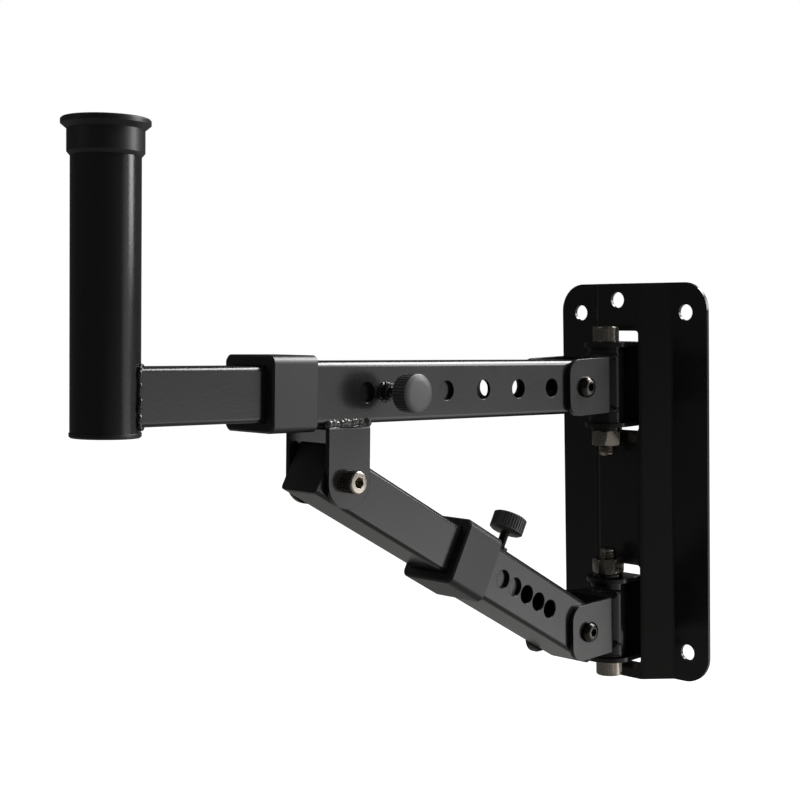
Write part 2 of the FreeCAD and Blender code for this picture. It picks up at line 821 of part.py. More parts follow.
def make_slide_bush(label, length, place, turn):
    """Plastic plug in the hidden end of an inner tube, which keeps it from rattling."""
    body = new_body(label)
    bore = new_sketch(body, "YZ_Plane", f"-{length}")
    add_outline(bore, square("size.inner_tube - 2 * size.inner_wall"))
    pad(body, bore, "size.bush_long")
    rim = new_sketch(body, "YZ_Plane", f"-{length}")
    add_outline(rim, square("size.inner_tube"))
    pad(body, rim, "size.plug_rim", backwards=True)
    side = number("size.inner_tube / 2")

    def is_rim_corner(edge):
        return runs_along(edge, 0) and near(abs(edge.Vertexes[0].Y), side)

    soften(body, "Fillet", "size.inner_round", is_rim_corner)
    put(body, place, turn)


def make_pole(place):
    length = "size.pole_below + size.pole_above"
    tube = cylinder("pole_blank", "size.pole_round", length, "-size.pole_below")
    bore = cylinder("pole_bore", "size.pole_round - 2 * size.pole_wall", length, "-size.pole_below")
    pole = drilled("pole", tube, bore)
    put(pole, place, arm_turn)


def make_pole_cap(place):
    """Push-on protective cap: a wide rim over a skirt whose foot is chamfered to the pole."""
    body = new_body("pole_cap")
    top = "size.pole_above + size.cap_rim"
    bottom = f"{top} - size.cap_high"
    inside = "size.pole_round / 2"
    profile = [
        ("0", top),
        ("size.cap_flange / 2 - size.cap_rim / 4", top),
        ("size.cap_flange / 2", f"{top} - size.cap_rim / 4"),
        ("size.cap_flange / 2", "size.pole_above"),
        ("size.cap_skirt / 2", "size.pole_above - size.cap_taper"),
        ("size.cap_skirt / 2", f"{bottom} + size.cap_foot"),
        (inside, bottom),
        (inside, "size.pole_above"),
        ("0", "size.pole_above"),
    ]
    sketch = new_sketch(body, "XZ_Plane")
    add_outline(sketch, profile)
    revolve(body, sketch)
    put(body, place, arm_turn)


def make_pole_plug(place):
    """Plug in the pole's lower end, with a thin rim that stands a little proud all round."""
    body = new_body("pole_plug")
    rim = "size.pole_round / 2 + size.pole_plug_proud"
    bore = "size.pole_round / 2 - size.pole_wall"
    low = "-size.pole_below - size.plug_rim"
    profile = [
        ("0", "-size.pole_below + size.plug_depth"),
        (bore, "-size.pole_below + size.plug_depth"),
        (bore, "-size.pole_below"),
        (rim, "-size.pole_below"),
        (rim, f"{low} + size.plug_rim / 3"),
        (f"{rim} - size.plug_rim / 3", low),
        ("0", low),
    ]
    sketch = new_sketch(body, "XZ_Plane")
    add_outline(sketch, profile)
    revolve(body, sketch)
    put(body, place, arm_turn)


# Inner strut tube and its end plug. Their frame has the lug pivot as origin.

def make_inner_strut_tube():
    body = make_square_tube("inner_strut_tube", "size.inner_tube", "size.inner_wall",
                            "size.inner_round", "-size.strut_inner_long", "size.strut_nose")
    drill_sides(body, ["0"], "size.cross_bolt + 2 * size.strut_pivot_play")
    put(body, lug_pivot, strut_turn)


def make_strut_end_plug():
    body = new_body("strut_end_plug")
    core = new_sketch(body, "YZ_Plane", "size.strut_nose - size.plug_depth")
    add_outline(core, square("size.inner_tube - 2 * size.inner_wall"))
    pad(body, core, "size.plug_depth")
    rim = new_sketch(body, "YZ_Plane", "size.strut_nose")
    add_outline(rim, square("size.inner_tube"))
    pad(body, rim, "size.plug_rim")
    side = number("size.inner_tube / 2")

    def is_rim_corner(edge):
        return runs_along(edge, 0) and near(abs(edge.Vertexes[0].Y), side)

    soften(body, "Fillet", "size.inner_round", is_rim_corner)
    put(body, lug_pivot, strut_turn)


# Assembly, from the wall outwards.
make_wall_plate()
for hinge in ("upper", "lower"):
    make_channel(hinge)
    make_hinge_fasteners(hinge)
    make_yoke(hinge)
    make_sleeve(hinge)
    make_cheek_fasteners(hinge)

make_outer_arm_tube()
put(make_collar("arm_collar", "size.arm_outer_end", "size.collar_long"), arm_pivot, arm_turn)
make_lug()
make_lug_fasteners()
tube_face = number("size.outer_tube / 2")
arm_knob_point = on_arm(number("size.arm_knob_place"), tube_face, 0)
make_boss("arm_boss", arm_knob_point, facing(1, 0, 0))
make_knob("arm_knob", arm_knob_point, facing(1, 0, 0))
pole_foot = on_arm(number("size.pole_reach"), 0, 0)
make_inner_arm_tube(pole_foot)
make_slide_bush("arm_slide_bush", "size.arm_inner_long", pole_foot, arm_turn)
make_pole(pole_foot)
make_pole_cap(pole_foot)
make_pole_plug(pole_foot)

make_outer_strut_tube()
strut_collar = make_collar("strut_collar", "size.strut_outer_end", "size.strut_collar_long")
put(strut_collar, strut_foot, strut_turn)
strut_knob_place = FreeCAD.Vector(number("size.strut_knob_place"), 0, tube_face)
strut_knob_point = strut_foot + strut_turn.multVec(strut_knob_place)
make_boss("strut_boss", strut_knob_point, strut_turn)
make_knob("strut_knob", strut_knob_point, strut_turn)
make_inner_strut_tube()
make_slide_bush("strut_slide_bush", "size.strut_inner_long", lug_pivot, strut_turn)
make_strut_end_plug()

# Everything must be sound before a file is written.
doc.recompute()
for item in doc.Objects:
    if "Invalid" in item.State or "Error" in item.State:
        raise ValueError(f"{item.Label} failed: {item.State}")
for sub_part in finished:
    if sub_part.Shape.isNull() or not sub_part.Shape.isValid():
        raise ValueError(f"{sub_part.Label} has no sound shape")
for sub_part in finished:
    sub_part.Shape.exportStep(f"parts/{sub_part.Label}.step")
print(len(finished), "sub-parts written")
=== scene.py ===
import json
import math
import random

import bmesh
import bpy
from mathutils import Matrix, Vector


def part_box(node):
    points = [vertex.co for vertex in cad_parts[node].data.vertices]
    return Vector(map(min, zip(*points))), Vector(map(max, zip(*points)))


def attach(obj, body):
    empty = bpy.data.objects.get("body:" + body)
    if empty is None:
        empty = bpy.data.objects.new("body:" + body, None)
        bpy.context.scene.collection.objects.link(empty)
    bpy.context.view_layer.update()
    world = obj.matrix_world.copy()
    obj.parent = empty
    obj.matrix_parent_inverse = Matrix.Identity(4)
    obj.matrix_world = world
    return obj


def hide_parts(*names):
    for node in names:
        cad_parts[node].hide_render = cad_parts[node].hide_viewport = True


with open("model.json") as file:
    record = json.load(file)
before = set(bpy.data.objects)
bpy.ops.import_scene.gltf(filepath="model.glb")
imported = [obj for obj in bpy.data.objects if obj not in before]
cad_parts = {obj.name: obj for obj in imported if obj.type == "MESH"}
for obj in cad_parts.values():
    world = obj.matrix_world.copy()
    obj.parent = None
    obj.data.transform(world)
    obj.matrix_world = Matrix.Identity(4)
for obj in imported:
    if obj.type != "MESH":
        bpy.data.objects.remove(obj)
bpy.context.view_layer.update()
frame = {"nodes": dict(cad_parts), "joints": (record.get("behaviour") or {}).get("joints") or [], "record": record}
nodes = frame["nodes"]
MM = 0.001


# Camera. It stands out in the room to the right of the bracket, a little above its middle, looks
# slightly down and is turned a touch clockwise, as the photograph's edges show.

def look_from(place_mm, azimuth, elevation, roll, focal_px, image_px=800):
    """Camera at a place in millimetres, whose focal length is given in the photograph's pixels."""
    az, el, tilt = (math.radians(angle) for angle in (azimuth, elevation, roll))
    ahead = Vector((-math.sin(az) * math.cos(el), math.cos(az) * math.cos(el), math.sin(el)))
    level = Vector((math.cos(az), math.sin(az), 0))
    upright = level.cross(ahead)
    right = level * math.cos(tilt) + upright * math.sin(tilt)
    up = upright * math.cos(tilt) - level * math.sin(tilt)
    bpy.ops.object.camera_add()
    camera = bpy.context.object
    camera.name = "camera"
    turn = Matrix((right, up, -ahead)).transposed().to_4x4()
    camera.matrix_world = Matrix.Translation(Vector(place_mm) * MM) @ turn
    camera.data.sensor_width = 36
    camera.data.lens = focal_px * camera.data.sensor_width / image_px
    camera.data.clip_start = 0.01
    bpy.context.scene.camera = camera


look_from(place_mm=(617.9, -833.5, 135.7), azimuth=45.7377, elevation=-4.2706, roll=-1.1778,
          focal_px=1454.64)
bpy.context.scene.view_settings.view_transform = "Standard"


# Studio. A tall strip softbox stands at the back on the right and a wide one hangs high behind the
# bracket. The room is dark in front and on the left, so the faces that look that way stay black.

BRIGHT_SIDE = (0.799, 0.602)


def linear(code):
    """sRGB hex colour as linear red, green, blue and alpha."""
    channels = [int(code[start:start + 2], 16) / 255 for start in (1, 3, 5)]
    values = [c / 12.92 if c <= 0.04045 else ((c + 0.055) / 1.055) ** 2.4 for c in channels]
    return (*values, 1)


def add_node(tree, kind, inputs=None, **settings):
    """Adds a node, sets its settings, and sets or links its inputs."""
    node = tree.nodes.new(kind)
    for name, value in settings.items():
        setattr(node, name, value)
    for name, value in (inputs or {}).items():
        if isinstance(value, bpy.types.NodeSocket):
            tree.links.new(value, node.inputs[name])
        else:
            node.inputs[name].default_value = value
    return node


def new_material(name):
    material = bpy.data.materials.new(name)
    material.use_nodes = True
    material.node_tree.nodes.clear()
    return material, material.node_tree


def seen_directly(tree, rays):
    """1 where the camera looks straight at something, or through something clear."""
    return add_node(tree, "ShaderNodeMath", {0: rays.outputs["Is Camera Ray"],
                                             1: rays.outputs["Is Transmission Ray"]},
                    operation="MAXIMUM").outputs[0]


def studio_world(white=1.0, shade=0.18, dark=0.05, bright_side=0.8):
    """White to the camera, and in reflections bright only behind the bracket on the right."""
    world = bpy.data.worlds.new("studio")
    bpy.context.scene.world = world
    world.use_nodes = True
    tree = world.node_tree
    tree.nodes.clear()
    way = add_node(tree, "ShaderNodeTexCoord").outputs["Generated"]
    toward = add_node(tree, "ShaderNodeVectorMath", {0: way, 1: (*BRIGHT_SIDE, -0.07)},
                      operation="DOT_PRODUCT")
    gloss = add_node(tree, "ShaderNodeMapRange",
                     {"Value": toward.outputs["Value"], "From Min": 0.948, "From Max": 0.998,
                      "To Min": dark, "To Max": bright_side}, interpolation_type="SMOOTHSTEP")
    rays = add_node(tree, "ShaderNodeLightPath")
    lit = add_node(tree, "ShaderNodeMix", {"Factor": rays.outputs["Is Glossy Ray"], "A": shade,
                                           "B": gloss.outputs["Result"]})
    strength = add_node(tree, "ShaderNodeMix", {"Factor": seen_directly(tree, rays),
                                                "A": lit.outputs[0], "B": white})
    light = add_node(tree, "ShaderNodeBackground", {"Color": (1, 1, 1, 1),
                                                    "Strength": strength.outputs[0]})
    add_node(tree, "ShaderNodeOutputWorld", {"Surface": light.outputs[0]})


def softbox(name, azimuth, elevation, distance, size, power):
    """Rectangular lamp in a direction from the bracket's middle, kept out of the camera's sight."""
    az, el = math.radians(azimuth), math.radians(elevation)
    way = Vector((math.cos(el) * math.cos(az), math.cos(el) * math.sin(az), math.sin(el)))
    middle = Vector((0, -0.2, 0.02))
    bpy.ops.object.light_add(type="AREA", location=middle + distance * way)
    lamp = bpy.context.object
    lamp.name = name
    lamp.data.shape = "RECTANGLE"
    lamp.data.size, lamp.data.size_y = size
    lamp.data.energy = power
    lamp.rotation_euler = (-way).to_track_quat("-Z", "Y").to_euler()
    lamp.visible_camera = False


def floor_material():
    """White paper. It glows for the camera, a little less under the bracket, so its shadow shows.
    In reflections it is bright only behind the bracket on the right, and fades far away."""
    material, tree = new_material("pale studio floor")
    place = add_node(tree, "ShaderNodeTexCoord").outputs["Object"]
    reach = add_node(tree, "ShaderNodeVectorMath", {0: place}, operation="LENGTH")
    glow = add_node(tree, "ShaderNodeMapRange",
                    {"Value": reach.outputs["Value"], "From Min": 0.3, "From Max": 1.6,
                     "To Min": 0.82, "To Max": 1.0})
    away = add_node(tree, "ShaderNodeVectorMath", {0: place, 1: (0.7, 0.7, 0)},
                    operation="DOT_PRODUCT")
    behind = add_node(tree, "ShaderNodeMapRange",
                      {"Value": away.outputs["Value"], "From Min": 0.3, "From Max": 1.6,
                       "To Min": 0.02, "To Max": 1.75})
    aim = add_node(tree, "ShaderNodeVectorMath", {0: place}, operation="NORMALIZE")
    toward = add_node(tree, "ShaderNodeVectorMath", {0: aim.outputs["Vector"],
                                                     1: (*BRIGHT_SIDE, 0)},
                      operation="DOT_PRODUCT")
    beam = add_node(tree, "ShaderNodeMapRange",
                    {"Value": toward.outputs["Value"], "From Min": 0.95, "From Max": 0.985,
                     "To Min": 0.2, "To Max": 1.1})
    fade = add_node(tree, "ShaderNodeMapRange",
                    {"Value": reach.outputs["Value"], "From Min": 2.5, "From Max": 9.5,
                     "To Min": 1.0, "To Max": 0.36})
    lit = add_node(tree, "ShaderNodeMath", {0: behind.outputs["Result"],
                                            1: beam.outputs["Result"]}, operation="MULTIPLY")
    mirrored = add_node(tree, "ShaderNodeMath", {0: lit.outputs[0], 1: fade.outputs["Result"]},
                        operation="MULTIPLY")
    rays = add_node(tree, "ShaderNodeLightPath")
    for_camera = add_node(tree, "ShaderNodeMath", {0: seen_directly(tree, rays),
                                                   1: glow.outputs["Result"]},
                          operation="MULTIPLY")
    for_gloss = add_node(tree, "ShaderNodeMath", {0: rays.outputs["Is Glossy Ray"],
                                                  1: mirrored.outputs[0]},
                         operation="MULTIPLY")
    strength = add_node(tree, "ShaderNodeMath", {0: for_camera.outputs[0],
                                                 1: for_gloss.outputs[0]})
    paper = add_node(tree, "ShaderNodeBsdfDiffuse", {"Color": linear("#868684")})
    light = add_node(tree, "ShaderNodeEmission", {"Strength": strength.outputs[0]})
    both = add_node(tree, "ShaderNodeAddShader", {0: paper.outputs[0], 1: light.outputs[0]})
    add_node(tree, "ShaderNodeOutputMaterial", {"Surface": both.outputs[0]})
    return material


studio_world()
softbox("strip lamp", azimuth=53, elevation=30.5, distance=2.2, size=(0.78, 2.1), power=44)
softbox("back lamp", azimuth=76, elevation=42, distance=2.4, size=(1.5, 0.9), power=60)
softbox("front lamp", azimuth=-110, elevation=35, distance=2.6, size=(1.2, 1.2), power=3)
FLOOR_WIDE, FLOOR_LOW = 14, 0.62
bpy.ops.mesh.primitive_plane_add(size=FLOOR_WIDE, location=(0, 0, -FLOOR_LOW))
floor = bpy.context.object
floor.name = "floor"
floor.data.materials.append(floor_material())


# Wall plate: steel sheet 2.5 mm thick, blanked, folded into a hat section and powder coated. The
# baked powder is satin black with a fine orange peel, and is rounder than the sheet's cut edges.

def dress(name, material):
    """Gives a CAD node its finish through its material slots."""
    mesh = nodes[name].data
    mesh.materials.clear()
    mesh.materials.append(material)


def powder_coat(name, colour, roughness, peel_mm=1.3, cloud_mm=24, edge_mm=0.6):
    """Baked powder. peel_mm is the spacing of its orange peel and cloud_mm that of its duller
    patches, and edge_mm is how far it rounds an edge."""
    material, tree = new_material(name)
    place = add_node(tree, "ShaderNodeTexCoord").outputs["Object"]
    peel = add_node(tree, "ShaderNodeTexNoise", {"Vector": place, "Scale": 1 / (peel_mm * MM),
                                                 "Detail": 2.0, "Roughness": 0.5})
    cloud = add_node(tree, "ShaderNodeTexNoise", {"Vector": place, "Scale": 1 / (cloud_mm * MM),
                                                  "Detail": 3.0})
    rough = add_node(tree, "ShaderNodeMapRange", {"Value": cloud.outputs[0],
                                                  "To Min": roughness - 0.05,
                                                  "To Max": roughness + 0.05})
    edge = add_node(tree, "ShaderNodeBevel", {"Radius": edge_mm * MM}, samples=4)
    bump = add_node(tree, "ShaderNodeBump", {"Strength": 0.3, "Distance": 0.12 * MM,
                                             "Height": peel.outputs[0],
                                             "Normal": edge.outputs[0]})
    shader = add_node(tree, "ShaderNodeBsdfPrincipled",
                      {"Base Color": linear(colour), "Roughness": rough.outputs[0],
                       "Normal": bump.outputs[0]})
    add_node(tree, "ShaderNodeOutputMaterial", {"Surface": shader.outputs[0]})
    return material


coat = powder_coat("black powder coat", "#222020", 0.19)
dress("wall_plate", coat)


# Hinge channels: T-shaped sheets bent into a U, pushed through the plate's slots from behind and
# welded to its slopes. The arc welds were laid by hand and coated with the rest.

def start(primitive, **settings):
    """Adds a primitive with nothing else selected, and settles its place in its mesh."""
    bpy.ops.object.select_all(action="DESELECT")
    primitive(**settings)
    bpy.ops.object.transform_apply(location=True, rotation=True, scale=True)
    return bpy.context.object


def join(pieces, name):
    bpy.ops.object.select_all(action="DESELECT")
    for piece in pieces:
        piece.select_set(True)
    bpy.context.view_layer.objects.active = pieces[0]
    bpy.ops.object.join()
    pieces[0].name = name
    return pieces[0]


def modify(piece, kind, **settings):
    """Adds a modifier and applies it."""
    bpy.context.view_layer.objects.active = piece
    modifier = piece.modifiers.new(kind.lower(), kind)
    for name, value in settings.items():
        setattr(modifier, name, value)
    bpy.ops.object.modifier_apply(modifier=modifier.name)


def finish_piece(piece, name, material, body, replaced=None, smooth_angle=35):
    """Names, shades and dresses a new piece and hands it to its body."""
    bpy.ops.object.select_all(action="DESELECT")
    piece.select_set(True)
    bpy.context.view_layer.objects.active = piece
    bpy.ops.object.shade_smooth_by_angle(angle=math.radians(smooth_angle))
    piece.name = name
    piece.data.name = name
    piece.data.materials.clear()
    piece.data.materials.append(material)
    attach(piece, body)
    if replaced:
        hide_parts(replaced)


WELD_GRAIN = 0.42 * MM


def weld_bead(name, path, wide_mm, body, material, step_mm=2.1):
    """Row of overlapping drops along a path of points, melted into one lumpy bead."""
    width = wide_mm * MM
    chance = random.Random(name)
    drops = []
    for first, last in zip(path, path[1:]):
        count = max(2, round((last - first).length / (step_mm * MM)))
        for number in range(count + 1):
            jitter = Vector([chance.uniform(-0.1, 0.1) for _ in range(3)]) * width
            spot = first.lerp(last, number / count) + jitter
            size = width / 2 * chance.uniform(0.85, 1.2)
            drops.append(start(bpy.ops.mesh.primitive_ico_sphere_add, subdivisions=2,
                               radius=size, location=spot))
    bead = join(drops, name)
    modify(bead, "REMESH", mode="VOXEL", voxel_size=WELD_GRAIN)
    modify(bead, "SMOOTH", factor=0.5, iterations=5)
    finish_piece(bead, name, material, body, smooth_angle=80)


weld_coat = powder_coat("powder coat over a weld", "#222020", 0.12, peel_mm=2.2, edge_mm=0.2)
CHANNEL_WELD_MM = {"wide": 3.6, "beside": 1.2, "behind": 0.2, "from_end": 4}
for hinge in ("upper", "lower"):
    channel = f"{hinge}_hinge_channel"
    dress(channel, coat)
    low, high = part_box(channel)
    for side, word in ((-1, "left"), (1, "right")):
        seam_x = side * (high.x + CHANNEL_WELD_MM["beside"] * MM)
        seam_y = high.y + CHANNEL_WELD_MM["behind"] * MM
        seam = [Vector((seam_x, seam_y, low.z + CHANNEL_WELD_MM["from_end"] * MM)),
                Vector((seam_x, seam_y, high.z - CHANNEL_WELD_MM["from_end"] * MM))]
        weld_bead(f"{hinge}_channel_weld_{word}", seam, CHANNEL_WELD_MM["wide"], "wall_frame",
                  weld_coat)


# Hinge bolts: M12 socket cap screws of zinc-plated steel. Their heads are knurled on the side and
# have a hexagon socket, and the rolled thread shows beyond the nut.

def choose(piece, kind, test):
    """Opens a piece in edit mode and selects the faces or edges that a test picks by their middle."""
    bpy.ops.object.mode_set(mode="EDIT")
    bpy.ops.mesh.select_mode(type=kind)
    bpy.ops.mesh.select_all(action="DESELECT")
    mesh = bmesh.from_edit_mesh(piece.data)
    for item in (mesh.faces if kind == "FACE" else mesh.edges):
        middle = sum((corner.co for corner in item.verts), Vector()) / len(item.verts)
        item.select_set(test(middle, item))
    bmesh.update_edit_mesh(piece.data)


def leave_edit():
    bpy.ops.object.mode_set(mode="OBJECT")


def bevel_rim(piece, height, width, segments=3):
    """Rounds the edge of the end face at a height."""
    def on_rim(middle, edge):
        return all(abs(corner.co.z - height) < 1e-6 for corner in edge.verts)

    choose(piece, "EDGE", on_rim)
    bpy.ops.mesh.bevel(offset=width, segments=segments, affect="EDGES")
    leave_edit()


def press_grooves(piece, count, low, high, gap, depth):
    """Presses every second side face in between two heights, so that ribs stay between them."""
    bpy.ops.object.mode_set(mode="EDIT")
    for height in (low, high):
        bpy.ops.mesh.select_all(action="SELECT")
        bpy.ops.mesh.bisect(plane_co=(0, 0, height), plane_no=(0, 0, 1))
    leave_edit()

    def is_groove(middle, face):
        turn = math.atan2(middle.y, middle.x) / (2 * math.pi) * 2 * count
        inside = low < middle.z < high and abs(face.normal.z) < 0.1
        return inside and math.floor(turn) % 2 == 0

    choose(piece, "FACE", is_groove)
    bpy.ops.mesh.inset(thickness=gap, depth=-depth, use_individual=True)
    leave_edit()


def carve(piece, tool, operation="DIFFERENCE"):
    modify(piece, "BOOLEAN", object=tool, operation=operation, solver="EXACT")
    bpy.data.objects.remove(tool)


def hexagon_socket(head, height, key):
    """Sinks a hexagon of a width across flats into the face of a screw head."""
    socket = start(bpy.ops.mesh.primitive_cylinder_add, vertices=6,
                   radius=key / 2 / math.cos(math.radians(30)), depth=1.2 * height,
                   location=(0, 0, height))
    carve(head, socket)


def cap_head(radius, height, key, grooves=36):
    """Knurled cylinder with a hexagon socket. Its seat is at Z = 0."""
    head = start(bpy.ops.mesh.primitive_cylinder_add, vertices=2 * grooves, radius=radius,
                 depth=height, location=(0, 0, height / 2))
    bevel_rim(head, height, 0.9 * MM)
    bevel_rim(head, 0, 0.4 * MM, segments=2)
    press_grooves(head, grooves, low=0.1 * height, high=0.85 * height, gap=0.1 * MM,
                  depth=0.12 * MM)
    hexagon_socket(head, height, key)
    return head


def threaded_rod(radius, pitch, low, high):
    """Core with a chamfered lower end and a coil of diamond section round it, one turn a pitch."""
    depth = pitch / 2
    ridge = 0.55 * pitch
    core = start(bpy.ops.mesh.primitive_cylinder_add, vertices=48, radius=radius - depth,
                 depth=high - low, location=(0, 0, (low + high) / 2))
    bevel_rim(core, low, depth, segments=1)
    coil = start(bpy.ops.mesh.primitive_circle_add, vertices=4, radius=ridge,
                 location=(radius - ridge, 0, low + pitch), rotation=(math.pi / 2, 0, 0))
    turns = math.floor((high - low) / pitch) - 1
    modify(coil, "SCREW", axis="Z", screw_offset=pitch, iterations=turns, steps=32,
           render_steps=32, use_normal_calculate=True)
    bpy.ops.object.mode_set(mode="EDIT")
    bpy.ops.mesh.select_all(action="SELECT")
    bpy.ops.mesh.fill_holes(sides=4)
    bpy.ops.mesh.normals_make_consistent(inside=False)
    leave_edit()
    return join([core, coil], "rod")


def stand(piece, point, direction, spin=0):
    """Turns a piece so that its Z points along a direction, and settles it at a point."""
    bpy.ops.object.select_all(action="DESELECT")
    piece.select_set(True)
    bpy.context.view_layer.objects.active = piece
    turn = Vector(direction).to_track_quat("Z", "Y").to_matrix().to_4x4()
    piece.matrix_world = Matrix.Translation(point) @ turn @ Matrix.Rotation(spin, 4, "Z")
    bpy.ops.object.transform_apply(location=True, rotation=True, scale=True)


def zinc_plate(name, colour, roughness, grain_mm=0.8):
    """Zinc-plated steel: grey, a little uneven, with fine dents from tumbling in the plating drum."""
    material, tree = new_material(name)
    place = add_node(tree, "ShaderNodeTexCoord").outputs["Object"]
    grain = add_node(tree, "ShaderNodeTexNoise", {"Vector": place, "Scale": 1 / (grain_mm * MM),
                                                  "Detail": 4.0, "Roughness": 0.65})
    rough = add_node(tree, "ShaderNodeMapRange", {"Value": grain.outputs[0], "From Min": 0.3,
                                                  "From Max": 0.7, "To Min": roughness - 0.14,
                                                  "To Max": roughness + 0.16})
    dull = tuple(0.55 * channel for channel in linear(colour)[:3]) + (1,)
    tone = add_node(tree, "ShaderNodeMix", {"Factor": grain.outputs[0], "A": dull,
                                            "B": linear(colour)}, data_type="RGBA")
    edge = add_node(tree, "ShaderNodeBevel", {"Radius": 0.3 * MM}, samples=4)
    bump = add_node(tree, "ShaderNodeBump", {"Strength": 0.35, "Distance": 0.05 * MM,
                                             "Height": grain.outputs[0],
                                             "Normal": edge.outputs[0]})
    shader = add_node(tree, "ShaderNodeBsdfPrincipled",
                      {"Base Color": tone.outputs["Result"], "Metallic": 1.0,
                       "Roughness": rough.outputs[0], "Normal": bump.outputs[0]})
    add_node(tree, "ShaderNodeOutputMaterial", {"Surface": shader.outputs[0]})
    return material


def zone(node):
    """Centre of a node's box and its lowest and highest corners."""
    low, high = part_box(node)
    return (low + high) / 2, low, high


zinc = zinc_plate("bright zinc plate", "#b8b0a5", 0.2)
HINGE_BOLT = {"radius": 6 * MM, "pitch": 1.75 * MM, "head": 9 * MM, "high": 11 * MM, "key": 10 * MM}
PLAIN_SHARE = 0.55
for hinge, head_way in (("upper", 1), ("lower", -1)):
    node = f"{hinge}_hinge_bolt"
    middle, low, high = zone(node)
    length = high.z - low.z - HINGE_BOLT["high"]
    head = cap_head(HINGE_BOLT["head"], HINGE_BOLT["high"], HINGE_BOLT["key"])
    thread_top = -PLAIN_SHARE * length
    shank = start(bpy.ops.mesh.primitive_cylinder_add, vertices=48, radius=HINGE_BOLT["radius"],
                  depth=-thread_top, location=(0, 0, thread_top / 2))
    bevel_rim(shank, thread_top, 0.6 * MM, segments=1)
    rod = threaded_rod(HINGE_BOLT["radius"], HINGE_BOLT["pitch"], -length, thread_top)
    bolt = join([head, shank, rod], node)
    seat_z = high.z - HINGE_BOLT["high"] if head_way == 1 else low.z + HINGE_BOLT["high"]
    stand(bolt, Vector((middle.x, middle.y, seat_z)), (0, 0, head_way))
    finish_piece(bolt, f"{node}_with_thread", zinc, "wall_frame", node)


# Hinge nuts: M12 hexagons, pressed hot from bar, chamfered on both ends and zinc plated. The two
# were tightened to different angles.

def hexagon_nut(height, flats, bore, chamfer):
    """Hexagon cut by a bevelled drum, so that each side face ends in two arcs. Its seat is Z = 0."""
    nut = start(bpy.ops.mesh.primitive_cylinder_add, vertices=6,
                radius=flats / 2 / math.cos(math.radians(30)), depth=height,
                location=(0, 0, height / 2), rotation=(0, 0, math.radians(30)))
    drum = start(bpy.ops.mesh.primitive_cylinder_add, vertices=96,
                 radius=flats / 2 + chamfer * 0.7, depth=height, location=(0, 0, height / 2))
    for end in (0, height):
        bevel_rim(drum, end, chamfer, segments=2)
    carve(nut, drum, "INTERSECT")
    hole = start(bpy.ops.mesh.primitive_cylinder_add, vertices=48, radius=bore / 2,
                 depth=2 * height, location=(0, 0, height / 2))
    carve(nut, hole)
    return nut


NUT_M12 = {"flats": 19 * MM, "bore": 12 * MM, "chamfer": 2.1 * MM}
for hinge, head_way, spin in (("upper", 1, 0), ("lower", -1, 30)):
    node = f"{hinge}_hinge_nut"
    middle, low, high = zone(node)
    nut = hexagon_nut(high.z - low.z, **NUT_M12)
    seat_z = high.z if head_way == 1 else low.z
    stand(nut, Vector((middle.x, middle.y, seat_z)), (0, 0, -head_way), math.radians(spin))
    finish_piece(nut, f"{node}_chamfered", zinc, "wall_frame", node)


# Swivel yokes: cross-shaped sheets, folded forwards into cheeks and backwards into tongues. The
# tongues are welded to a thick sleeve that turns on the hinge bolt between two thin washers. These
# and the washer under the hinge nut are of blackened steel.

def black_oxide(name, colour, roughness, grain_mm=1.1):
    """Blackened steel: dark metal with a thin oily shine."""
    material, tree = new_material(name)
    place = add_node(tree, "ShaderNodeTexCoord").outputs["Object"]
    grain = add_node(tree, "ShaderNodeTexNoise", {"Vector": place, "Scale": 1 / (grain_mm * MM),
                                                  "Detail": 3.0})
    rough = add_node(tree, "ShaderNodeMapRange", {"Value": grain.outputs[0],
                                                  "To Min": roughness - 0.08,
                                                  "To Max": roughness + 0.12})
    edge = add_node(tree, "ShaderNodeBevel", {"Radius": 0.25 * MM}, samples=4)
    shader = add_node(tree, "ShaderNodeBsdfPrincipled",
                      {"Base Color": linear(colour), "Metallic": 1.0,
                       "Roughness": rough.outputs[0], "Normal": edge.outputs[0]})
    add_node(tree, "ShaderNodeOutputMaterial", {"Surface": shader.outputs[0]})
    return material


black_steel = black_oxide("black oxide steel", "#454340", 0.15)
SLEEVE_WELD_MM = {"wide": 3.0, "outside": 0.5}
FRONT_HALF = range(-165, -14, 15)
for hinge in ("upper", "lower"):
    body = f"{hinge}_knuckle"
    dress(f"{hinge}_yoke", coat)
    dress(f"{hinge}_sleeve", coat)
    for end in ("top", "bottom"):
        dress(f"{hinge}_{end}_thrust_washer", black_steel)
    dress(f"{hinge}_hinge_washer", black_steel)
    axis, sleeve_low, sleeve_high = zone(f"{hinge}_sleeve")
    reach = (sleeve_high.x - sleeve_low.x) / 2 + SLEEVE_WELD_MM["outside"] * MM
    yoke_low, yoke_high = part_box(f"{hinge}_yoke")
    for level, word in ((yoke_high.z, "top"), (yoke_low.z, "bottom")):
        seam = []
        for degrees in FRONT_HALF:
            turn = math.radians(degrees)
            seam.append(Vector((axis.x + reach * math.cos(turn), axis.y + reach * math.sin(turn),
                                level)))
        weld_bead(f"{hinge}_sleeve_weld_{word}", seam, SLEEVE_WELD_MM["wide"], body, weld_coat)


# Cheek bolts: M8 button-head screws, blackened, with a polished dome and a hexagon socket, and
# plain hexagon nuts behind the far cheek.

def button_head(radius, height, key):
    """Domed head with a hexagon socket. Its seat is at Z = 0."""
    head = start(bpy.ops.mesh.primitive_cylinder_add, vertices=64, radius=radius, depth=height,
                 location=(0, 0, height / 2))
    bevel_rim(head, height, 0.82 * height, segments=8)
    hexagon_socket(head, height, key)
    return head


CROSS_BOLT = {"radius": 4 * MM, "pitch": 1.25 * MM, "length": 50 * MM}


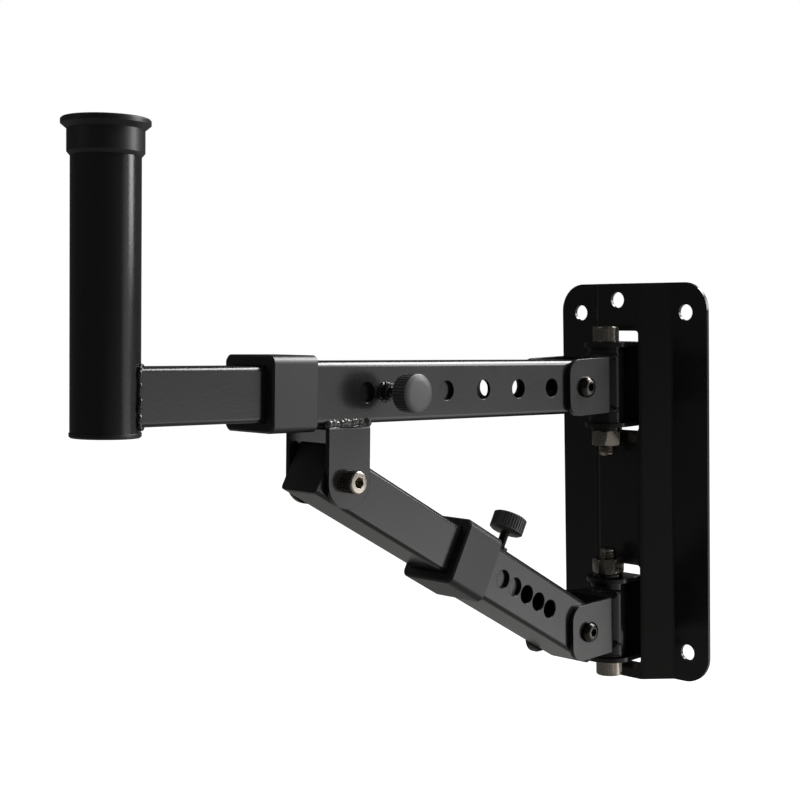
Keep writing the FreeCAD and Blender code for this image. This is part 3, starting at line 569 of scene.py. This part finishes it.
def cross_bolt(head):
    """Screw through both cheeks: a plain shank under the head, then thread to the end."""
    length = CROSS_BOLT["length"]
    plain = length / 2
    shank = start(bpy.ops.mesh.primitive_cylinder_add, vertices=40, radius=CROSS_BOLT["radius"],
                  depth=plain, location=(0, 0, -plain / 2))
    bevel_rim(shank, -plain, 0.4 * MM, segments=1)
    rod = threaded_rod(CROSS_BOLT["radius"], CROSS_BOLT["pitch"], -length, -plain)
    return join([head, shank, rod], "cross_bolt")


BUTTON = {"head": 7 * MM, "high": 4.4 * MM, "key": 5 * MM}
NUT_M8 = {"flats": 13 * MM, "bore": 8 * MM, "chamfer": 1.3 * MM}
BUTTON_SPIN = 0.3
for hinge in ("upper", "lower"):
    node = f"{hinge}_cheek_bolt"
    middle, _, high = zone(node)
    screw = cross_bolt(button_head(BUTTON["head"], BUTTON["high"], BUTTON["key"]))
    stand(screw, Vector((high.x - BUTTON["high"], middle.y, middle.z)), (1, 0, 0), BUTTON_SPIN)
    finish_piece(screw, f"{node}_domed", black_steel, f"{hinge}_knuckle", node)
    nut_node = f"{hinge}_cheek_nut"
    middle, low, high = zone(nut_node)
    nut = hexagon_nut(high.x - low.x, **NUT_M8)
    stand(nut, Vector((high.x, middle.y, middle.z)), (-1, 0, 0))
    finish_piece(nut, f"{nut_node}_chamfered", black_steel, f"{hinge}_knuckle",
                 nut_node)


# Outer arm tube with its lug: square steel tube, 35 mm, drilled, with a folded lug welded below it.
# The weld's ripples stand proud of the lug's rounded top. Its side beads get a lighter grey coat, a painted sheen
# standing in for their shine.

mounts = {mount["name"]: mount for mount in frame["record"]["mounts"]}
joints = {joint["name"]: joint for joint in frame["joints"]}
arm_out = Vector(joints["arm_slide"]["axis"])
arm_up = Vector(mounts["pole"]["axis"])
ACROSS = Vector((1, 0, 0))


def arm_point(foot, along, across, above):
    """Point from measures in millimetres along the arm, across it and above it."""
    return foot + (along * arm_out + across * ACROSS + above * arm_up) * MM


arm_foot = zone("upper_cheek_bolt")[0]
arm_foot.x = 0
lug_along = (zone("lug_bolt")[0] - arm_foot).dot(arm_out) / MM
for name in ("outer_arm_tube", "arm_lug", "arm_boss"):
    dress(name, coat)
# Lighter grey than the black coat: painted sheen on the lug's side welds, standing in for their glints.
weld_sheen_coat = powder_coat("lighter powder coat for painted weld sheen", "#4b4947", 0.12, peel_mm=2.2,
                        edge_mm=0.2)
LUG_SIDE_WELD_MM = {"wide": 5.4, "across": 16.4, "above": -17.0, "span": (-14.5, 14.5), "step": 2.9}
LUG_END_WELD_MM = {"wide": 2.6, "along": 15.7, "above": -18.2, "span": (-13, 13)}
for side, word in ((1, "near"), (-1, "far")):
    seam = [arm_point(arm_foot, lug_along + reach, side * LUG_SIDE_WELD_MM["across"],
                      LUG_SIDE_WELD_MM["above"])
            for reach in LUG_SIDE_WELD_MM["span"]]
    weld_bead(f"lug_weld_{word}", seam, LUG_SIDE_WELD_MM["wide"], "arm", weld_sheen_coat,
              step_mm=LUG_SIDE_WELD_MM["step"])
for end, word in ((-1, "back"), (1, "front")):
    seam = [arm_point(arm_foot, lug_along + end * LUG_END_WELD_MM["along"], across,
                      LUG_END_WELD_MM["above"])
            for across in LUG_END_WELD_MM["span"]]
    weld_bead(f"lug_weld_{word}", seam, LUG_END_WELD_MM["wide"], "arm", weld_coat)


# Lug bolt: an M8 socket cap screw of bright zinc-plated steel, knurled like the hinge bolts, with
# a chamfered nut behind the far side of the lug.

LUG_HEAD = {"head": 6.5 * MM, "high": 8 * MM, "key": 6 * MM, "grooves": 28}
LUG_SPIN = 0.2
middle, _, high = zone("lug_bolt")
screw = cross_bolt(cap_head(LUG_HEAD["head"], LUG_HEAD["high"], LUG_HEAD["key"],
                            LUG_HEAD["grooves"]))
stand(screw, Vector((high.x - LUG_HEAD["high"], middle.y, middle.z)), (1, 0, 0), LUG_SPIN)
finish_piece(screw, "lug_bolt_with_thread", zinc, "arm", "lug_bolt")
middle, low, high = zone("lug_nut")
nut = hexagon_nut(high.x - low.x, **NUT_M8)
stand(nut, Vector((high.x, middle.y, middle.z)), (-1, 0, 0))
finish_piece(nut, "lug_nut_chamfered", zinc, "arm", "lug_nut")


# Inner arm tube and pole: 30 mm square tube, notched to fit round the 35 mm pole and welded to it
# on all four sides, then coated as one.

dress("inner_arm_tube", coat)
dress("pole", coat)
HALF_TUBE_MM, POLE_RADIUS_MM = 15.0, 17.5
MOUNT_ABOVE_ARM = 134.3 * MM
POLE_SIDE_WELD_MM = {"wide": 3.2, "before": 0.6, "span": (-14, 14.5)}
POLE_TOP_WELD_MM = {"wide": 3.0, "before": 0.4, "stations": range(-14, 15, 4)}
WELD_HEIGHT_MM = HALF_TUBE_MM + 0.2
pole_foot = Vector(mounts["pole"]["pos_m"]) - MOUNT_ABOVE_ARM * arm_up


def saddle(across):
    """How far before the pole's axis its surface lies, at a distance from the middle."""
    return -math.sqrt(POLE_RADIUS_MM ** 2 - across ** 2)


for side, word in ((1, "near"), (-1, "far")):
    before = saddle(HALF_TUBE_MM) - POLE_SIDE_WELD_MM["before"]
    seam = [arm_point(pole_foot, before, side * WELD_HEIGHT_MM, above)
            for above in POLE_SIDE_WELD_MM["span"]]
    weld_bead(f"pole_weld_{word}", seam, POLE_SIDE_WELD_MM["wide"], "arm_extension", weld_coat)
for side, word in ((1, "top"), (-1, "bottom")):
    seam = [arm_point(pole_foot, saddle(across) - POLE_TOP_WELD_MM["before"], across,
                      side * WELD_HEIGHT_MM)
            for across in POLE_TOP_WELD_MM["stations"]]
    weld_bead(f"pole_weld_{word}", seam, POLE_TOP_WELD_MM["wide"], "arm_extension", weld_coat)


# Outer and inner strut tubes: the same square tubes as the arm's, cut, drilled and coated. A small
# nut for the clamp screw is welded on the outer one.

for name in ("outer_strut_tube", "inner_strut_tube", "strut_boss"):
    dress(name, coat)


# Plastic guides, plugs and the pole's cap: injection-moulded black polyethylene, satin, with the
# very fine texture of a spark-eroded mould.

def moulded_plastic(name, colour, roughness, spark_mm=0.5, cloud_mm=15, edge_mm=0.5):
    """Moulded thermoplastic. spark_mm is the spacing of the mould's texture and cloud_mm that of
    the duller patches, and edge_mm is how far the mould rounds an edge."""
    material, tree = new_material(name)
    place = add_node(tree, "ShaderNodeTexCoord").outputs["Object"]
    spark = add_node(tree, "ShaderNodeTexNoise", {"Vector": place, "Scale": 1 / (spark_mm * MM),
                                                  "Detail": 2.0})
    cloud = add_node(tree, "ShaderNodeTexNoise", {"Vector": place, "Scale": 1 / (cloud_mm * MM),
                                                  "Detail": 2.0})
    rough = add_node(tree, "ShaderNodeMapRange", {"Value": cloud.outputs[0],
                                                  "To Min": roughness - 0.04,
                                                  "To Max": roughness + 0.04})
    edge = add_node(tree, "ShaderNodeBevel", {"Radius": edge_mm * MM}, samples=4)
    bump = add_node(tree, "ShaderNodeBump", {"Strength": 0.15, "Distance": 0.05 * MM,
                                             "Height": spark.outputs[0],
                                             "Normal": edge.outputs[0]})
    shader = add_node(tree, "ShaderNodeBsdfPrincipled",
                      {"Base Color": linear(colour), "Roughness": rough.outputs[0], "IOR": 1.5,
                       "Normal": bump.outputs[0]})
    add_node(tree, "ShaderNodeOutputMaterial", {"Surface": shader.outputs[0]})
    return material


satin_plastic = moulded_plastic("black moulded polyethylene", "#232122", 0.36)
for name in ("arm_collar", "strut_collar", "arm_slide_bush", "strut_slide_bush", "pole_cap",
             "pole_plug", "strut_end_plug"):
    dress(name, satin_plastic)


# Clamp knobs: black nylon moulded on the end of an M6 screw, with thirty-six ribs for the fingers,
# a slightly domed face and a conical underside. Each screw passes through a small welded nut.

UNDERSIDE_STEPS = ((0.12, 0.1), (0.48, 0.06))
FACE_STEPS = ((0.1, 0.07), (0.3, 0.03))


def ribbed_knob(radius, thick, ribs=36):
    """Knob with the rim of its underside at Z = 0 and its face up. Each step goes in by a share of
    the radius and out by a share of the thickness."""
    knob = start(bpy.ops.mesh.primitive_cylinder_add, vertices=2 * ribs, radius=radius,
                 depth=thick, location=(0, 0, thick / 2))
    for way, steps in ((-1, UNDERSIDE_STEPS), (1, FACE_STEPS)):
        choose(knob, "FACE", lambda middle, face: way * face.normal.z > 0.9)
        for inward, outward in steps:
            bpy.ops.mesh.inset(thickness=inward * radius, depth=outward * thick)
        leave_edit()
    press_grooves(knob, ribs, low=0.05 * thick, high=0.93 * thick, gap=0.16 * MM, depth=0.6 * MM)
    return knob


knob_plastic = moulded_plastic("black knob nylon", "#504e4e", 0.38, edge_mm=0.25)
KNOB = {"radius": 11 * MM, "screw": 3 * MM, "pitch": 1.0 * MM, "sunk": 1 * MM}
BOSS_WELD_MM = {"wide": 2.0, "radius": 5.2}
strut_out = Vector(joints["strut_slide"]["axis"])
strut_up = Vector(joints["strut_knob_turn"]["axis"])


def span_along(node, origin, way):
    """How far a node reaches along a direction, from its lowest to its highest corner."""
    reaches = [(vertex.co - origin).dot(way) for vertex in nodes[node].data.vertices]
    return min(reaches), max(reaches)


for limb, way, sideways, along in (("arm", ACROSS, arm_up, arm_out),
                                   ("strut", strut_up, ACROSS, strut_out)):
    pivot = Vector(joints[f"{limb}_knob_turn"]["pos_m"])
    underside, top = span_along(f"{limb}_knob", pivot, way)
    knob = ribbed_knob(KNOB["radius"], top - underside)
    stand(knob, pivot + underside * way, way)
    finish_piece(knob, f"{limb}_knob_ribbed", knob_plastic, f"{limb}_clamp",
                 f"{limb}_knob", smooth_angle=30)
    screw_end = span_along(f"{limb}_clamp_screw", pivot, way)[0]
    screw = threaded_rod(KNOB["screw"], KNOB["pitch"], screw_end, underside + KNOB["sunk"])
    stand(screw, pivot, way)
    finish_piece(screw, f"{limb}_clamp_screw_threaded", black_steel,
                 f"{limb}_clamp", f"{limb}_clamp_screw")
    ring = []
    for degrees in range(0, 361, 30):
        turn = math.radians(degrees)
        outwards = math.cos(turn) * sideways + math.sin(turn) * along
        ring.append(pivot + BOSS_WELD_MM["radius"] * MM * outwards)
    weld_bead(f"{limb}_boss_weld", ring, BOSS_WELD_MM["wide"], limb, weld_coat)
